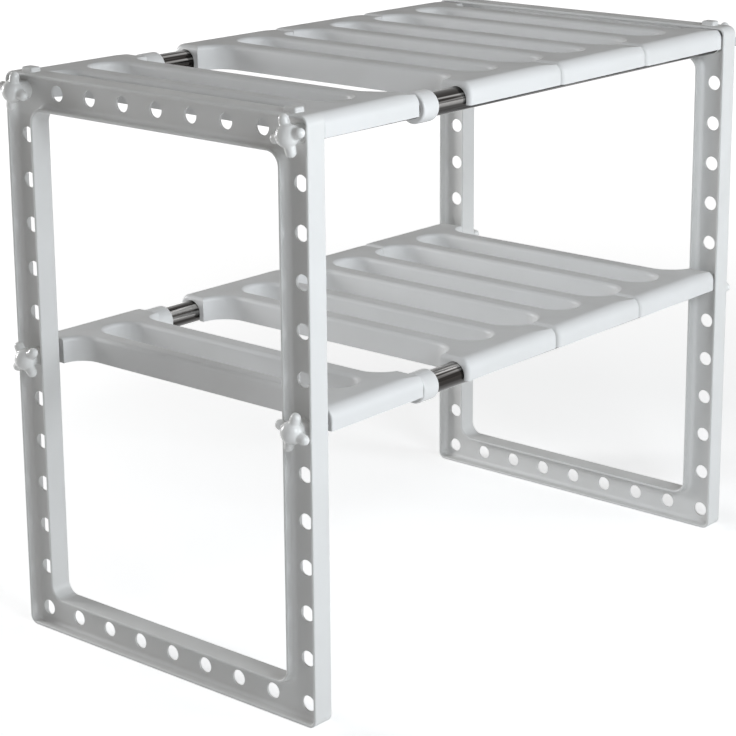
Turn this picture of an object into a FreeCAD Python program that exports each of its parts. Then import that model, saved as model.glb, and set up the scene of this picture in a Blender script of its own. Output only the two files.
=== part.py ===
import FreeCAD, Part
import math
import os

# A two-tier rack that draws out in width: two moulded side frames, four telescopic poles, eight clip-on
# shelf panels and eight star knobs. Millimetres. X runs from the left frame to the right one, Y from
# front to rear and Z up from the floor. The origin is on the floor in the middle of the rack.

Vector = FreeCAD.Vector
along_x = Vector(1, 0, 0)
along_z = Vector(0, 0, 1)

# Side frames
hole_pitch = 30.0
holes_deep = 9
holes_high = 13
hole_gap = 1.4
frame_proud = 0.5
channel_gap = 2.4
frame_thickness = 15.4
web_thickness = 1.4
flange_thickness = 2.0
frame_corner_radius = 6.0
window_corner_radius = 9.0
lip_round = 0.9
root_round = 3.0

# Pegs on top of a frame, near its corners
peg_width = 8.4
peg_length = 10.0
peg_height = 3.2
peg_round = 1.4
peg_inset = 17.2

# Rows of holes that hold the two tiers, counted from the lowest
upper_row = 12
lower_row = 6

# Telescopic poles: an inner tube from the left frame runs in a sleeve from the right one
tube_diameter = 13.0
tube_wall = 1.0
sleeve_gap = 0.3
sleeve_wall = 1.0
collar_wall = 2.2
collar_length = 15.0
collar_lip_length = 5.0
collar_round = 1.3
collar_running_gap = 0.1
bare_sleeve = 27.2
drawn_travel = 100.0
least_overlap = 20.0

# End plugs of the poles
plug_wall = 1.7
plug_shank_length = 16.0
plug_chamfer = 1.0

# Star knobs and their studs
hub_radius = 7.4
lobe_radius = 3.3
lobe_root_radius = 3.9
knob_tip_radius = 13.2
neck_rim = 1.0
knob_standoff = 0.6
knob_blend_round = 1.4
stud_in_knob = 9.0
stud_in_plug = 18.0
stud_chamfer = 1.0
thread_gap = 0.3
lobes_per_knob = 4
knob_turns_deg = {
    ("left", "upper", "front"): 15.5,
    ("left", "upper", "rear"): -13.0,
    ("left", "lower", "front"): -17.0,
    ("left", "lower", "rear"): 37.0,
    ("right", "upper", "front"): 0.0,
    ("right", "upper", "rear"): 24.0,
    ("right", "lower", "front"): 31.0,
    ("right", "lower", "rear"): 0.0,
}

# Shelf panels: the first one of a tier sits on the inner tubes, the others on the sleeves
slot_width = 30.6
slat_width = 14.4
waist_depth = 19.3
first_slat_width = 13.4
first_waist_depth = 15.55
panel_gap = 0.3
panels_on_sleeves = 3
panel_drop = 5.8
skirt_drop = 3.2
panel_taper = 1.4
panel_skin = 2.2
panel_wall = 2.0
panel_shoulder_round = 8.0
panel_edge_round = 3.0
panel_end_round = 1.0
panel_joint_round = 3.2
slot_margin = 2.6
waist_margin = 3.2
saddle_gap = 0.3
saddle_relief = 0.9
saddle_wall = 2.8
clip_length = 9.0
clips_per_saddle = 3
rib_thickness = 1.6
rib_height = 8.0
ribs_per_slat = 5

# Play that the first and second panels have along their poles, and the share of it each tier has taken up
first_panel_play = 4.2
second_panel_play = 1.2
play_taken_shares = {"upper": 0.0, "lower": 0.8}

# One overrun serves all cuts, and one tolerance all tests of place
overrun = 1.0
place_tolerance = 1e-4

# Derived sizes
tube_bore = tube_diameter - 2 * tube_wall
stud_diameter = tube_bore - 2 * plug_wall
hole_diameter = stud_diameter + 2 * hole_gap
knob_neck_radius = hole_diameter / 2 + neck_rim
sleeve_bore = tube_diameter + 2 * sleeve_gap
sleeve_diameter = sleeve_bore + 2 * sleeve_wall
collar_diameter = sleeve_diameter + 2 * collar_wall
plug_head_diameter = sleeve_diameter
rail_inner_margin = plug_head_diameter / 2 + channel_gap + flange_thickness
saddle_radius = sleeve_diameter / 2 + saddle_relief
panel_reach = saddle_radius + saddle_wall
rail_outer_margin = panel_reach + frame_proud
slot_end = saddle_radius + slot_margin
waist_end = saddle_radius + waist_margin
depth_of_holes = (holes_deep - 1) * hole_pitch
height_of_holes = (holes_high - 1) * hole_pitch
frame_depth = depth_of_holes + 2 * rail_outer_margin
frame_height = height_of_holes + 2 * rail_outer_margin
recess_depth = (frame_thickness - web_thickness) / 2
pole_half_depth = depth_of_holes / 2
pole_y = {"front": -pole_half_depth, "rear": pole_half_depth}
tier_rows = {"upper": upper_row, "lower": lower_row}
tier_z = {tier: rail_outer_margin + row * hole_pitch for tier, row in tier_rows.items()}
panel_half_depth = pole_half_depth + panel_reach
panel_width = slot_width + 2 * (slat_width + waist_depth)
first_panel_width = slot_width + 2 * (first_slat_width + first_waist_depth)
panel_pitch = panel_width + panel_gap

# Derived places along X: the panels, the collar and the bare sleeve fill the width between the frames
first_bay = first_panel_width + first_panel_play + 2 * panel_gap
sleeve_bay = bare_sleeve + second_panel_play + panels_on_sleeves * panel_pitch
inner_width = first_bay + collar_length + sleeve_bay
frame_spread = inner_width + frame_thickness
web_x = {"left": -frame_spread / 2, "right": frame_spread / 2}
inward = {"left": 1, "right": -1}
tube_start = -inner_width / 2
sleeve_end = inner_width / 2
collar_start = tube_start + first_bay
collar_end = collar_start + collar_length
sleeve_start = collar_start + collar_lip_length
tube_end = sleeve_start + least_overlap + drawn_travel


def runs_along(edge, direction):
    straight = isinstance(edge.Curve, Part.Line)
    return straight and edge.tangentAt(edge.FirstParameter).cross(direction).Length < place_tolerance


def lies_at(edge, axis, places):
    spots = [getattr(vertex.Point, axis) for vertex in edge.Vertexes]
    return all(min(abs(spot - place) for place in places) < place_tolerance for spot in spots)


def rod(diameter, x_from, x_to, y=0, z=0):
    return Part.makeCylinder(diameter / 2, x_to - x_from, Vector(x_from, y, z), along_x)


def block(x_from, x_to, y_from, y_to, z_from, z_to):
    return Part.makeBox(x_to - x_from, y_to - y_from, z_to - z_from, Vector(x_from, y_from, z_from))


def upright_slab(x_from, x_to, inset, radius):
    # A slab across X with the frame's outline drawn in by inset, and its four corners rounded
    y_edge = frame_depth / 2 - inset
    slab = block(x_from, x_to, -y_edge, y_edge, inset, frame_height - inset)
    return slab.makeFillet(radius, [edge for edge in slab.Edges if runs_along(edge, along_x)])


def stadium(width, length, x_mid, z_from, z_to):
    # A long opening with round ends, lying along Y
    radius = width / 2
    straight = length / 2 - radius
    left, right = x_mid - radius, x_mid + radius
    corners = [Vector(left, -straight, z_from), Vector(left, straight, z_from),
               Vector(right, straight, z_from), Vector(right, -straight, z_from)]
    rear_tip = Vector(x_mid, length / 2, z_from)
    front_tip = Vector(x_mid, -length / 2, z_from)
    outline = Part.Wire([
        Part.makeLine(corners[0], corners[1]),
        Part.Arc(corners[1], rear_tip, corners[2]).toShape(),
        Part.makeLine(corners[2], corners[3]),
        Part.Arc(corners[3], front_tip, corners[0]).toShape(),
    ])
    return Part.Face(outline).extrude(Vector(0, 0, z_to - z_from))


def frame_holes():
    holes = []
    for row in range(holes_high):
        for column in range(holes_deep):
            if row in (0, holes_high - 1) or column in (0, holes_deep - 1):
                y = column * hole_pitch - pole_half_depth
                z = rail_outer_margin + row * hole_pitch
                holes.append(rod(hole_diameter, -web_thickness, web_thickness, y, z))
    return holes


def make_peg(y):
    foot, top = frame_height - flange_thickness, frame_height + peg_height
    peg = block(-peg_width / 2, peg_width / 2, y - peg_length / 2, y + peg_length / 2, foot, top)
    upper = [edge for edge in peg.Edges if lies_at(edge, "z", (top,)) or runs_along(edge, along_z)]
    return peg.makeFillet(peg_round, upper)


def make_frame():
    # A ring of H section: the web stands in the middle, with a flange along each edge on both sides
    half = frame_thickness / 2
    rail_width = rail_outer_margin + rail_inner_margin
    ring = upright_slab(-half, half, 0, frame_corner_radius)
    ring = ring.cut(upright_slab(-half - overrun, half + overrun, rail_width, window_corner_radius))
    for x_from, x_to in ((-half - overrun, -web_thickness / 2), (web_thickness / 2, half + overrun)):
        channel = upright_slab(x_from, x_to, flange_thickness, frame_corner_radius - flange_thickness)
        core_radius = window_corner_radius + flange_thickness
        channel = channel.cut(upright_slab(x_from, x_to, rail_width - flange_thickness, core_radius))
        ring = ring.cut(channel)
    roots = [edge for edge in ring.Edges if lies_at(edge, "x", (-web_thickness / 2, web_thickness / 2))]
    ring = ring.makeFillet(root_round, roots)
    ring = ring.makeFillet(lip_round, [edge for edge in ring.Edges if lies_at(edge, "x", (-half, half))])
    ring = ring.cut(frame_holes())
    for y in (peg_inset - frame_depth / 2, frame_depth / 2 - peg_inset):
        ring = ring.fuse(make_peg(y))
    return ring.removeSplitter()


def make_sleeve():
    return rod(sleeve_diameter, sleeve_start, sleeve_end).cut(rod(sleeve_bore, sleeve_start, sleeve_end))


def make_inner_tube():
    return rod(tube_diameter, tube_start, tube_end).cut(rod(tube_bore, tube_start, tube_end))


def make_collar():
    # A bush over the mouth of the sleeve, whose lip guides the inner tube
    body = rod(collar_diameter, collar_start, collar_end)
    ends = [edge for edge in body.Edges if lies_at(edge, "x", (collar_start, collar_end)) and edge.isClosed()]
    body = body.makeFillet(collar_round, ends)
    body = body.cut(rod(sleeve_diameter, sleeve_start, collar_end))
    return body.cut(rod(tube_diameter + 2 * collar_running_gap, collar_start, collar_end))


def make_plug(pole_bore):
    # Stands on the inside of a web at x = 0 and runs inwards: a head in the channel, a shank in the pole.
    # The head's foot is chamfered so that it clears the round at the root of the frame's flange
    shank_end = recess_depth + plug_shank_length
    shank = rod(pole_bore, recess_depth, shank_end)
    head = rod(plug_head_diameter, 0, recess_depth)
    tip_edges = [edge for edge in shank.Edges if lies_at(edge, "x", (shank_end,))]
    foot_edges = [edge for edge in head.Edges if lies_at(edge, "x", (0,))]
    plug = head.makeChamfer(plug_chamfer, foot_edges).fuse(shank.makeChamfer(plug_chamfer, tip_edges))
    return plug.cut(rod(stud_diameter + 2 * thread_gap, 0, shank_end)).removeSplitter()


def meets_hub(edge, middle):
    # True of the circle where a lobe grows out of the round hub
    if edge.Degenerated or not isinstance(edge.Curve, Part.Circle):
        return False
    off_middle = edge.Curve.Center.distanceToPoint(middle)
    reach = edge.Vertexes[0].Point.distanceToPoint(middle)
    return off_middle > place_tolerance and abs(reach - hub_radius) < place_tolerance


def make_knob():
    # Stands on the outside of a web at x = 0 and runs outwards along +X
    middle = Vector(recess_depth + knob_standoff + lobe_radius, 0, 0)
    finger_length = knob_tip_radius - lobe_radius
    knob = Part.makeSphere(hub_radius, Vector(0, 0, 0), along_x)
    knob.rotate(Vector(0, 0, 0), along_x, math.degrees(math.pi / lobes_per_knob))
    knob.translate(middle)
    for index in range(lobes_per_knob):
        angle = 2 * math.pi * index / lobes_per_knob
        way = Vector(0, math.cos(angle), math.sin(angle))
        finger = Part.makeCone(lobe_root_radius, lobe_radius, finger_length, middle, way)
        knob = knob.fuse([finger, Part.makeSphere(lobe_radius, middle + way * finger_length, way)])
    knob = knob.removeSplitter()
    knob = knob.makeFillet(knob_blend_round, [edge for edge in knob.Edges if meets_hub(edge, middle)])
    knob = knob.fuse(rod(2 * knob_neck_radius, 0, middle.x)).removeSplitter()
    return knob.cut(rod(stud_diameter, 0, stud_in_knob))


def make_stud():
    tip = -web_thickness - stud_in_plug
    stud = rod(stud_diameter, tip, stud_in_knob)
    return stud.makeChamfer(stud_chamfer, [edge for edge in stud.Edges if lies_at(edge, "x", (tip,))])


def saddle_channel(radius, x_from, x_to, y):
    # The space that a saddle leaves for its pole: a round top with straight legs open below
    legs = block(x_from, x_to, y - radius, y + radius, -panel_drop - overrun, 0)
    return rod(2 * radius, x_from, x_to, y).fuse(legs)


def flared_opening(width, length, x_mid):
    # Cuts an opening through a panel. Its mouth flares below a brim, so that the rim it leaves is rounded
    low, top, high = -panel_drop - overrun, panel_reach, panel_reach + overrun
    brim_growth = 2 * (panel_edge_round + overrun)
    cutter = stadium(width, length, x_mid, low, high)
    brim = stadium(width + brim_growth, length + brim_growth, x_mid, top, high)
    cutter = cutter.fuse(brim).removeSplitter()
    sides = (x_mid - width / 2, x_mid + width / 2)
    mouth = [edge for edge in cutter.Edges if lies_at(edge, "z", (top,)) and lies_at(edge, "x", sides)]
    return cutter.makeFillet(panel_edge_round, mouth)


def tapered_block(half_width):
    # A panel is a little less deep at its right end, so the next one stands proud of it where they meet
    right_half_depth = panel_half_depth - panel_taper
    half_depths = ((-half_width, -panel_half_depth), (half_width, -right_half_depth),
                   (half_width, right_half_depth), (-half_width, panel_half_depth))
    corners = [Vector(x, y, -panel_drop) for x, y in half_depths]
    outline = Part.makePolygon(corners + corners[:1])
    return Part.Face(outline).extrude(Vector(0, 0, panel_drop + panel_reach))


def end_ramp(half_width, waist):
    # Cuts the top of the right end down towards the next panel, beside the waist only
    start, stop = half_width - waist, half_width + waist
    corners = [Vector(start, -panel_half_depth, panel_reach), Vector(stop, -panel_half_depth, panel_reach),
               Vector(stop, -panel_half_depth, panel_reach - 2 * panel_taper)]
    outline = Part.makePolygon(corners + corners[:1])
    return Part.Face(outline).extrude(Vector(0, 2 * panel_half_depth, 0))


def panel_form(width, waist, left_round):
    # The outside of a panel, with the pole axes at z = 0: round shoulders, waisted sides and a slot
    half_width = width / 2
    form = tapered_block(half_width)
    ends = (-half_width,), (half_width,)
    shoulders = [edge for edge in form.Edges
                 if lies_at(edge, "z", (panel_reach,)) and not any(lies_at(edge, "x", end) for end in ends)]
    form = form.makeFillet(panel_shoulder_round, shoulders).cut(end_ramp(half_width, waist))
    for x_end, radius in ((-half_width, left_round), (half_width, panel_end_round)):
        end_edges = [edge for edge in form.Edges
                     if lies_at(edge, "x", (x_end,)) and not lies_at(edge, "z", (-panel_drop,))]
        form = form.makeFillet(radius, end_edges)
    for x_mid in (-half_width, half_width):
        form = form.cut(flared_opening(2 * waist, 2 * (pole_half_depth - waist_end), x_mid))
    form = form.cut(flared_opening(slot_width, 2 * (pole_half_depth - slot_end), 0))
    # The outer skirts end higher than the slats, so that the poles show below them
    left, right, outside = -half_width - overrun, half_width + overrun, panel_half_depth + overrun
    for y_from, y_to in ((-outside, -pole_half_depth), (pole_half_depth, outside)):
        form = form.cut(block(left, right, y_from, y_to, -panel_drop - overrun, -skirt_drop))
    return form


def slat_hollows(width, waist):
    # The hollows under the slats, with cross ribs left standing in them
    half_width = width / 2 - panel_wall
    half_depth = pole_half_depth - saddle_radius - panel_wall
    low, high = -panel_drop - overrun, panel_reach - panel_skin
    hollow = block(-half_width, half_width, -half_depth, half_depth, low, high)
    waist_length = 2 * (pole_half_depth - waist_end + panel_wall)
    for x_mid in (-width / 2, width / 2):
        hollow = hollow.cut(stadium(2 * (waist + panel_wall), waist_length, x_mid, low, high))
    slot_length = 2 * (pole_half_depth - slot_end + panel_wall)
    hollow = hollow.cut(stadium(slot_width + 2 * panel_wall, slot_length, 0, low, high))
    rib_pitch = 2 * half_depth / (ribs_per_slat + 1)
    for index in range(ribs_per_slat):
        y_from = (index + 1) * rib_pitch - half_depth - rib_thickness / 2
        rib = block(-half_width, half_width, y_from, y_from + rib_thickness, high - rib_height, high)
        hollow = hollow.cut(rib)
    return hollow


def make_panel(width, waist, pole_diameter, left_round):
    # Rings in the saddles sit on the pole, and between them the saddles stand clear of it
    half_width = width / 2
    panel = panel_form(width, waist, left_round).cut(slat_hollows(width, waist))
    ring_radius = pole_diameter / 2 + saddle_gap
    bay_length = (width - clips_per_saddle * clip_length) / (clips_per_saddle - 1)
    for y in pole_y.values():
        panel = panel.cut(saddle_channel(ring_radius, -half_width - overrun, half_width + overrun, y))
        for bay in range(clips_per_saddle - 1):
            x_from = clip_length - half_width + bay * (clip_length + bay_length)
            panel = panel.cut(saddle_channel(saddle_radius, x_from, x_from + bay_length, y))
    return panel.removeSplitter()


def panel_places(tier):
    # The middle of each panel of a tier along X, counted from the left frame
    taken = play_taken_shares[tier]
    places = [tube_start + panel_gap + taken * first_panel_play + first_panel_width / 2]
    for index in reversed(range(panels_on_sleeves)):
        places.append(sleeve_end - panel_gap - panel_width / 2 - index * panel_pitch)
    places[1] -= taken * second_panel_play
    return places


def save(name, shape, x=0, y=0, z=0, turn_deg=0, flip=False):
    # Places a copy of a piece: turned about its own X axis, flipped end for end about Z, then moved
    placed = shape.copy()
    placed.rotate(Vector(0, 0, 0), along_x, turn_deg)
    if flip:
        placed.rotate(Vector(0, 0, 0), along_z, math.degrees(math.pi))
    placed.translate(Vector(x, y, z))
    solid = placed.Solids[0]
    print(name, len(placed.Solids), "solid", "valid" if solid.isValid() else "BROKEN", round(solid.Volume, 1))
    solid.exportStep("parts/" + name + ".step")


os.makedirs("parts", exist_ok=True)

frame = make_frame()
for side in web_x:
    save(side + "_frame", frame, web_x[side])

poles = {"sleeve": make_sleeve(), "collar": make_collar(), "inner_tube": make_inner_tube()}
plugs = {"left": make_plug(tube_bore), "right": make_plug(sleeve_bore)}
panels = [make_panel(first_panel_width, first_waist_depth, tube_diameter, panel_end_round)]
panels += [make_panel(panel_width, waist_depth, sleeve_diameter, panel_joint_round)] * panels_on_sleeves
knob = make_knob()
stud = make_stud()
for tier, z in tier_z.items():
    for index, x in enumerate(panel_places(tier)):
        save(tier + "_panel_" + str(index + 1), panels[index], x, 0, z)
    for line, y in pole_y.items():
        for piece, shape in poles.items():
            save("_".join((tier, line, piece)), shape, 0, y, z)
        for side in web_x:
            corner = "_".join((side, tier, line))
            face = inward[side] * web_thickness / 2
            turn = knob_turns_deg[(side, tier, line)]
            outer_face = web_x[side] - face
            save(corner + "_plug", plugs[side], web_x[side] + face, y, z, 0, side == "right")
            save(corner + "_knob", knob, outer_face, y, z, turn, side == "left")
            save(corner + "_stud", stud, outer_face, y, z, turn, side == "left")
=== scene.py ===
import math
import bpy
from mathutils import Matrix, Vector

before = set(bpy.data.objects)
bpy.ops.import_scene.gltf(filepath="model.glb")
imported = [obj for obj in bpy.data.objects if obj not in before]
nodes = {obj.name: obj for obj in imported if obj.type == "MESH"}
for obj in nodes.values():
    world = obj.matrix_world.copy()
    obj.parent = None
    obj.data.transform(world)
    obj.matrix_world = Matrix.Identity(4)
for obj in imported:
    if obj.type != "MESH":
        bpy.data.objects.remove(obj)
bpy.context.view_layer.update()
bpy.ops.object.select_all(action="DESELECT")
print("frame loaded,", len(nodes), "nodes")


# small helpers for node trees

def addNode(tree, kind, **settings):
    node = tree.nodes.new(kind)
    for name, value in settings.items():
        setattr(node, name, value)
    return node


def addSocket(tree, label, way):
    return tree.interface.new_socket(name=label, in_out=way, socket_type="NodeSocketFloat")


def newGroup(name, inputs, outputs):
    tree = bpy.data.node_groups.new(name, "ShaderNodeTree")
    for label, value in inputs.items():
        addSocket(tree, label, "INPUT").default_value = value
    for label in outputs:
        addSocket(tree, label, "OUTPUT")
    return tree, addNode(tree, "NodeGroupInput"), addNode(tree, "NodeGroupOutput")


def useGroup(tree, group, values):
    node = addNode(tree, "ShaderNodeGroup", node_tree=group)
    for label, value in values.items():
        node.inputs[label].default_value = value
    return node


def mathNode(tree, operation, first, second, clamp=False):
    node = addNode(tree, "ShaderNodeMath", operation=operation, use_clamp=clamp)
    for socket, value in zip(node.inputs, (first, second)):
        if isinstance(value, (int, float)):
            socket.default_value = value
        else:
            tree.links.new(value, socket)
    return node.outputs["Value"]


def noiseNode(tree, scale, detail, vector):
    node = addNode(tree, "ShaderNodeTexNoise")
    node.inputs["Detail"].default_value = detail
    if isinstance(scale, (int, float)):
        node.inputs["Scale"].default_value = scale
    else:
        tree.links.new(scale, node.inputs["Scale"])
    tree.links.new(vector, node.inputs["Vector"])
    return node.outputs["Fac"]


# maps one range of a value onto another
def spread(tree, value, given, wanted=(0.0, 1.0)):
    node = addNode(tree, "ShaderNodeMapRange")
    for label, number in zip(("From Min", "From Max", "To Min", "To Max"), given + wanted):
        node.inputs[label].default_value = number
    tree.links.new(value, node.inputs["Value"])
    return node.outputs["Result"]


def objectPlace(tree):
    return addNode(tree, "ShaderNodeTexCoord").outputs["Object"]


# noise drawn out along one direction, by a different scale on each axis
def drawnNoise(tree, scale, detail, turn=(0.0, 0.0, 0.0)):
    node = addNode(tree, "ShaderNodeMapping")
    node.inputs["Rotation"].default_value = turn
    node.inputs["Scale"].default_value = scale
    tree.links.new(objectPlace(tree), node.inputs["Vector"])
    return noiseNode(tree, 1.0, detail, node.outputs["Vector"])


def facingUp(tree):
    node = addNode(tree, "ShaderNodeSeparateXYZ")
    tree.links.new(addNode(tree, "ShaderNodeNewGeometry").outputs["Normal"], node.inputs["Vector"])
    return node.outputs["Z"]


# moulded skin: cloudy flow of the melt, fine texture of the steel mould
skin = {"inputs": {"Flow Scale": 18.0, "Grain Scale": 900.0},
        "flowDetail": 5.0, "flowRange": (0.3, 0.7), "grainDetail": 2.0}


def buildMouldedSkin():
    tree, given, out = newGroup("mouldedSkin", skin["inputs"], ("Flow", "Grain"))
    place = objectPlace(tree)
    flow = noiseNode(tree, given.outputs["Flow Scale"], skin["flowDetail"], place)
    tree.links.new(spread(tree, flow, skin["flowRange"]), out.inputs["Flow"])
    grain = noiseNode(tree, given.outputs["Grain Scale"], skin["grainDetail"], place)
    tree.links.new(grain, out.inputs["Grain"])
    return tree


# rubbed edges: where the rounded-off normal leaves the true one, broken up by noise
edges = {"inputs": {"Width": 0.0012, "Break Scale": 160.0}, "samples": 4, "bend": (0.96, 0.8),
         "breakDetail": 3.0, "breakRange": (0.4, 0.62), "breakShare": (0.25, 1.0)}


def buildRubbedEdges():
    tree, given, out = newGroup("rubbedEdges", edges["inputs"], ("Mask",))
    rounded = addNode(tree, "ShaderNodeBevel", samples=edges["samples"])
    tree.links.new(given.outputs["Width"], rounded.inputs["Radius"])
    meet = addNode(tree, "ShaderNodeVectorMath", operation="DOT_PRODUCT")
    tree.links.new(rounded.outputs["Normal"], meet.inputs[0])
    tree.links.new(addNode(tree, "ShaderNodeNewGeometry").outputs["Normal"], meet.inputs[1])
    edge = spread(tree, meet.outputs["Value"], edges["bend"])
    broken = noiseNode(tree, given.outputs["Break Scale"], edges["breakDetail"], objectPlace(tree))
    patch = spread(tree, broken, edges["breakRange"], edges["breakShare"])
    tree.links.new(mathNode(tree, "MULTIPLY", edge, patch, True), out.inputs["Mask"])
    return tree


# handling marks: soft smudges and a few hair scratches that only change the gloss
marks = {"inputs": {"Smudge Scale": 35.0}, "smudgeDetail": 6.0, "smudgeRange": (0.42, 0.7),
         "hairScale": (40.0, 900.0, 900.0), "hairTurn": (0.4, 0.7, 0.5), "hairDetail": 1.0,
         "hairRange": (0.74, 0.82)}


def buildHandling():
    tree, given, out = newGroup("handlingMarks", marks["inputs"], ("Smudge", "Scratch"))
    smudge = noiseNode(tree, given.outputs["Smudge Scale"], marks["smudgeDetail"], objectPlace(tree))
    tree.links.new(spread(tree, smudge, marks["smudgeRange"]), out.inputs["Smudge"])
    hair = drawnNoise(tree, marks["hairScale"], marks["hairDetail"], marks["hairTurn"])
    tree.links.new(spread(tree, hair, marks["hairRange"]), out.inputs["Scratch"])
    return tree


# dust that settles on what faces up; its mask also paints shade on the tops, which come out darker than the
# sides
dustAndTopShade = {"inputs": {"Dust Scale": 60.0}, "detail": 7.0, "facing": (0.88, 1.0),
        "cloudRange": (0.35, 0.65), "cloudShare": (0.7, 1.0)}


def buildDustAndTopShade():
    tree, given, out = newGroup("settledDustAndTopShade", dustAndTopShade["inputs"], ("Mask",))
    # what faces up gets the dust and the painted shade of the tops
    facing = spread(tree, facingUp(tree), dustAndTopShade["facing"])
    cloud = noiseNode(tree, given.outputs["Dust Scale"], dustAndTopShade["detail"], objectPlace(tree))
    cloud = spread(tree, cloud, dustAndTopShade["cloudRange"], dustAndTopShade["cloudShare"])
    tree.links.new(mathNode(tree, "MULTIPLY", facing, cloud, True), out.inputs["Mask"])
    return tree


# drawn tube, which lies along X: fine lines of the drawing, broad dark streaks that are painted reflections,
# and a painted dark reflection that darkens the underside
draw = {"lineScale": (4.0, 2600.0, 2600.0), "lineDetail": 3.0, "paintedStreakScale": (3.0, 260.0, 260.0),
        "paintedStreakDetail": 2.0, "paintedStreakRange": (0.46, 0.58), "paintedStreakShare": (1.0, 0.0),
        "paintedUndersideRange": (0.35, -0.20), "paintedUndersideShare": (0.0, 0.95)}


def buildDrawnTubeAndPaintedReflection():
    tree, _, out = newGroup("drawnTubeAndPaintedReflection", {}, ("Lines", "Painted Reflection"))
    tree.links.new(drawnNoise(tree, draw["lineScale"], draw["lineDetail"]), out.inputs["Lines"])
    # painted reflection: dark streaks around the tube, drawn out along it
    paintedStreaks = drawnNoise(tree, draw["paintedStreakScale"], draw["paintedStreakDetail"])
    paintedStreaks = spread(tree, paintedStreaks, draw["paintedStreakRange"], draw["paintedStreakShare"])
    # painted dark reflection: the colour darkens towards the underside
    paintedUnderside = spread(tree, facingUp(tree), draw["paintedUndersideRange"], draw["paintedUndersideShare"])
    tree.links.new(mathNode(tree, "MAXIMUM", paintedStreaks, paintedUnderside), out.inputs["Painted Reflection"])
    return tree


groups = {"skin": buildMouldedSkin(), "edges": buildRubbedEdges(), "handling": buildHandling(),
          "dustAndTopShade": buildDustAndTopShade(), "drawn": buildDrawnTubeAndPaintedReflection()}
print("node groups ready:", ", ".join(sorted(groups)))


# sockets 6, 7 and 2 are the ones for colours on a Mix node
def mixColours(tree, factor, first, second):
    node = addNode(tree, "ShaderNodeMix", data_type="RGBA")
    tree.links.new(factor, node.inputs["Factor"])
    for socket, value in ((node.inputs[6], first), (node.inputs[7], second)):
        if isinstance(value, tuple):
            socket.default_value = value + (1.0,)
        else:
            tree.links.new(value, socket)
    return node.outputs[2]


def startMaterial(name):
    material = bpy.data.materials.new(name)
    material.use_nodes = True
    tree = material.node_tree
    return material, tree, tree.nodes["Principled BSDF"]


def addBump(tree, shader, height, strength, depth):
    bump = addNode(tree, "ShaderNodeBump")
    bump.inputs["Strength"].default_value = strength
    bump.inputs["Distance"].default_value = depth
    tree.links.new(height, bump.inputs["Height"])
    tree.links.new(bump.outputs["Normal"], shader.inputs["Normal"])


# the dust colour of each plastic also stands for painted shade on what faces up
plastics = {
    "frameWhite": {"body": (0.80, 0.80, 0.795), "deep": (0.765, 0.765, 0.755), "edge": (0.86, 0.86, 0.86),
                   "dustAndTopShade": (0.66, 0.65, 0.63), "gloss": (0.36, 0.44),
                   "grain": 1000.0, "bump": 0.05, "flow": 16.0},
    "panelWhite": {"body": (0.80, 0.80, 0.80), "deep": (0.77, 0.77, 0.765), "edge": (0.86, 0.86, 0.86),
                   "dustAndTopShade": (0.66, 0.65, 0.635), "gloss": (0.40, 0.48),
                   "grain": 1200.0, "bump": 0.04, "flow": 20.0},
    "knobWhite": {"body": (0.90, 0.90, 0.89), "deep": (0.87, 0.87, 0.855), "edge": (0.92, 0.92, 0.915),
                  "dustAndTopShade": (0.82, 0.81, 0.79), "gloss": (0.20, 0.28),
                  "grain": 1600.0, "bump": 0.03, "flow": 60.0},
    "collarWhite": {"body": (0.82, 0.82, 0.82), "deep": (0.79, 0.79, 0.785), "edge": (0.87, 0.87, 0.87),
                    "dustAndTopShade": (0.74, 0.73, 0.72), "gloss": (0.18, 0.26),
                    "grain": 1500.0, "bump": 0.03, "flow": 70.0},
    "plugWhite": {"body": (0.76, 0.76, 0.75), "deep": (0.72, 0.72, 0.705), "edge": (0.80, 0.80, 0.79),
                  "dustAndTopShade": (0.68, 0.67, 0.66), "gloss": (0.38, 0.52),
                  "grain": 1100.0, "bump": 0.08, "flow": 50.0},
}
plastic = {"dustAndTopShadeShare": 0.5, "edgeShare": 0.6, "dustMatt": 0.3, "grainDepth": 0.0004, "ior": 1.49}


def makePlastic(name, look):
    material, tree, shader = startMaterial(name)
    moulded = useGroup(tree, groups["skin"], {"Flow Scale": look["flow"], "Grain Scale": look["grain"]})
    rubbed = useGroup(tree, groups["edges"], {}).outputs["Mask"]
    handling = useGroup(tree, groups["handling"], {})
    dustAndTopShadeMask = useGroup(tree, groups["dustAndTopShade"], {}).outputs["Mask"]
    colour = mixColours(tree, moulded.outputs["Flow"], look["body"], look["deep"])
    # dust with painted shade darkens what faces up
    colour = mixColours(tree, mathNode(tree, "MULTIPLY", dustAndTopShadeMask, plastic["dustAndTopShadeShare"]), colour, look["dustAndTopShade"])
    colour = mixColours(tree, mathNode(tree, "MULTIPLY", rubbed, plastic["edgeShare"]), colour, look["edge"])
    tree.links.new(colour, shader.inputs["Base Color"])
    worn = mathNode(tree, "MAXIMUM", handling.outputs["Smudge"], handling.outputs["Scratch"])
    matt = mathNode(tree, "MULTIPLY", dustAndTopShadeMask, plastic["dustMatt"])  # dust takes the gloss off
    rough = mathNode(tree, "ADD", spread(tree, worn, (0.0, 1.0), look["gloss"]), matt, True)
    tree.links.new(rough, shader.inputs["Roughness"])
    addBump(tree, shader, moulded.outputs["Grain"], look["bump"], plastic["grainDepth"])
    shader.inputs["IOR"].default_value = plastic["ior"]
    return material


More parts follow.
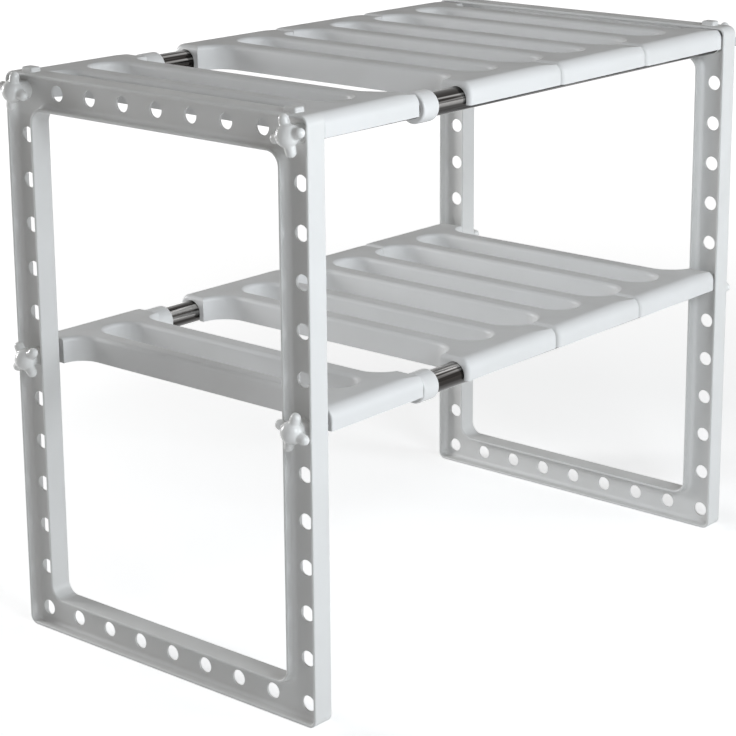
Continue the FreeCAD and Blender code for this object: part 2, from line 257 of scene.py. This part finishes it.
# the second colour of each steel is the near-black of its painted dark reflections
steels = {
    "tubeChrome": {"body": (0.60, 0.59, 0.58), "paintedReflection": (0.045, 0.041, 0.038),
                   "gloss": (0.08, 0.18), "bump": 0.05},
    "sleeveSteel": {"body": (0.58, 0.57, 0.56), "paintedReflection": (0.03, 0.027, 0.025),
                    "gloss": (0.07, 0.16), "bump": 0.06},
}
steel = {"smudgeScale": 80.0, "smudgeShare": 0.6, "lineShare": 0.4, "lineDepth": 0.0002}


def makeSteel(name, look):
    material, tree, shader = startMaterial(name)
    handling = useGroup(tree, groups["handling"], {"Smudge Scale": steel["smudgeScale"]})
    drawn = useGroup(tree, groups["drawn"], {})
    lines = drawn.outputs["Lines"]
    # the base colour carries painted dark reflections, in streaks and on the underside
    colour = mixColours(tree, drawn.outputs["Painted Reflection"], look["body"], look["paintedReflection"])
    tree.links.new(colour, shader.inputs["Base Color"])
    smudged = mathNode(tree, "MULTIPLY", handling.outputs["Smudge"], steel["smudgeShare"])
    lined = mathNode(tree, "MULTIPLY", lines, steel["lineShare"])
    worn = mathNode(tree, "ADD", smudged, lined, True)
    tree.links.new(spread(tree, worn, (0.0, 1.0), look["gloss"]), shader.inputs["Roughness"])
    addBump(tree, shader, lines, look["bump"], steel["lineDepth"])
    shader.inputs["Metallic"].default_value = 1.0
    return material


finishes = {name: makePlastic(name, look) for name, look in plastics.items()}
finishes.update({name: makeSteel(name, look) for name, look in steels.items()})
print("materials ready:", ", ".join(sorted(finishes)))

# which finish each kind of node gets, by the end of its name; the panels end in a number
finishByEnding = {"_frame": "frameWhite", "_knob": "knobWhite", "_stud": "knobWhite",
                  "_collar": "collarWhite", "_plug": "plugWhite", "_inner_tube": "tubeChrome",
                  "_sleeve": "sleeveSteel"}


def finishFor(name):
    for ending, finish in finishByEnding.items():
        if name.endswith(ending):
            return finish
    return "panelWhite"


for name, node in nodes.items():
    node.data.materials.clear()
    node.data.materials.append(finishes[finishFor(name)])
print("finishes laid on all nodes")

# the paper whitens away from the rack by its lift, so the shadow stays beside the rack
stage = {"floorSize": 14.0, "floorColour": (0.86, 0.86, 0.86), "floorRough": 0.9,
         "fade": (0.5, 1.7), "lift": (0.51, 1.0), "ambient": (1.0, 0.955, 0.90),
         "ambientStrength": 0.12, "white": (1.0, 1.0, 1.0)}


# 1 on the rays that show the background itself, 0 on those that light the rack
def showsBackground(tree):
    rays = addNode(tree, "ShaderNodeLightPath").outputs
    seen = mathNode(tree, "MAXIMUM", rays["Is Camera Ray"], rays["Is Glossy Ray"])
    return mathNode(tree, "MAXIMUM", seen, rays["Is Transmission Ray"])


def buildFloor():
    bpy.ops.mesh.primitive_plane_add(size=stage["floorSize"], location=(0.0, 0.0, 0.0))
    floor = bpy.context.object
    floor.name = "studio_floor"
    material, tree, shader = startMaterial("floorPaper")
    shader.inputs["Base Color"].default_value = stage["floorColour"] + (1.0,)
    shader.inputs["Roughness"].default_value = stage["floorRough"]
    away = addNode(tree, "ShaderNodeVectorMath", operation="LENGTH")
    tree.links.new(objectPlace(tree), away.inputs[0])
    lift = spread(tree, away.outputs["Value"], stage["fade"], stage["lift"])
    lift = mathNode(tree, "MULTIPLY", showsBackground(tree), lift)
    shader.inputs["Emission Color"].default_value = stage["white"] + (1.0,)
    tree.links.new(lift, shader.inputs["Emission Strength"])
    floor.data.materials.append(material)


def buildWorld():
    world = bpy.data.worlds.new("studioWorld")
    bpy.context.scene.world = world
    world.use_nodes = True
    tree = world.node_tree
    tree.nodes.clear()
    light = addNode(tree, "ShaderNodeBackground")
    light.inputs["Color"].default_value = stage["ambient"] + (1.0,)
    light.inputs["Strength"].default_value = stage["ambientStrength"]
    white = addNode(tree, "ShaderNodeBackground")
    white.inputs["Color"].default_value = stage["white"] + (1.0,)
    mix = addNode(tree, "ShaderNodeMixShader")
    tree.links.new(showsBackground(tree), mix.inputs["Fac"])
    tree.links.new(light.outputs["Background"], mix.inputs[1])
    tree.links.new(white.outputs["Background"], mix.inputs[2])
    tree.links.new(mix.outputs["Shader"], addNode(tree, "ShaderNodeOutputWorld").inputs["Surface"])


lamps = {
    "frontKey": {"place": (-0.34, -0.98, 0.70), "size": 0.45, "power": 5.2, "colour": (0.90, 0.955, 1.0)},
    "sideFill": {"place": (0.7, -1.6, 0.55), "size": 0.8, "power": 11.0, "colour": (0.92, 0.965, 1.0)},
    "rearFill": {"place": (-0.43, 1.1, 0.47), "size": 0.4, "power": 7.5, "colour": (0.97, 0.985, 1.0)},
}
lampAim = (0.0, 0.0, 0.2)


def buildLamps():
    for name, lamp in lamps.items():
        bpy.ops.object.light_add(type="AREA", location=lamp["place"])
        light = bpy.context.object
        light.name = name
        light.data.shape = "SQUARE"
        light.data.size = lamp["size"]
        light.data.energy = lamp["power"]
        light.data.color = lamp["colour"]
        aim = Vector(lampAim) - Vector(lamp["place"])
        light.rotation_euler = aim.to_track_quat("-Z", "Y").to_euler()


camera = {"place": (-1.1743, -0.9922, 0.6197), "turnDeg": (75.254, 0.263, -49.817), "lens": 110.37,
          "sensor": 36.0, "shift": (-0.0299, -0.1128)}


def buildCamera():
    bpy.ops.object.camera_add(location=camera["place"],
                              rotation=[math.radians(angle) for angle in camera["turnDeg"]])
    eye = bpy.context.object
    eye.name = "photoCamera"
    eye.data.lens = camera["lens"]
    eye.data.sensor_width = camera["sensor"]
    eye.data.shift_x, eye.data.shift_y = camera["shift"]
    bpy.context.scene.camera = eye


buildFloor()
buildWorld()
buildLamps()
buildCamera()
bpy.context.scene.view_settings.view_transform = "Standard"
print("studio ready")
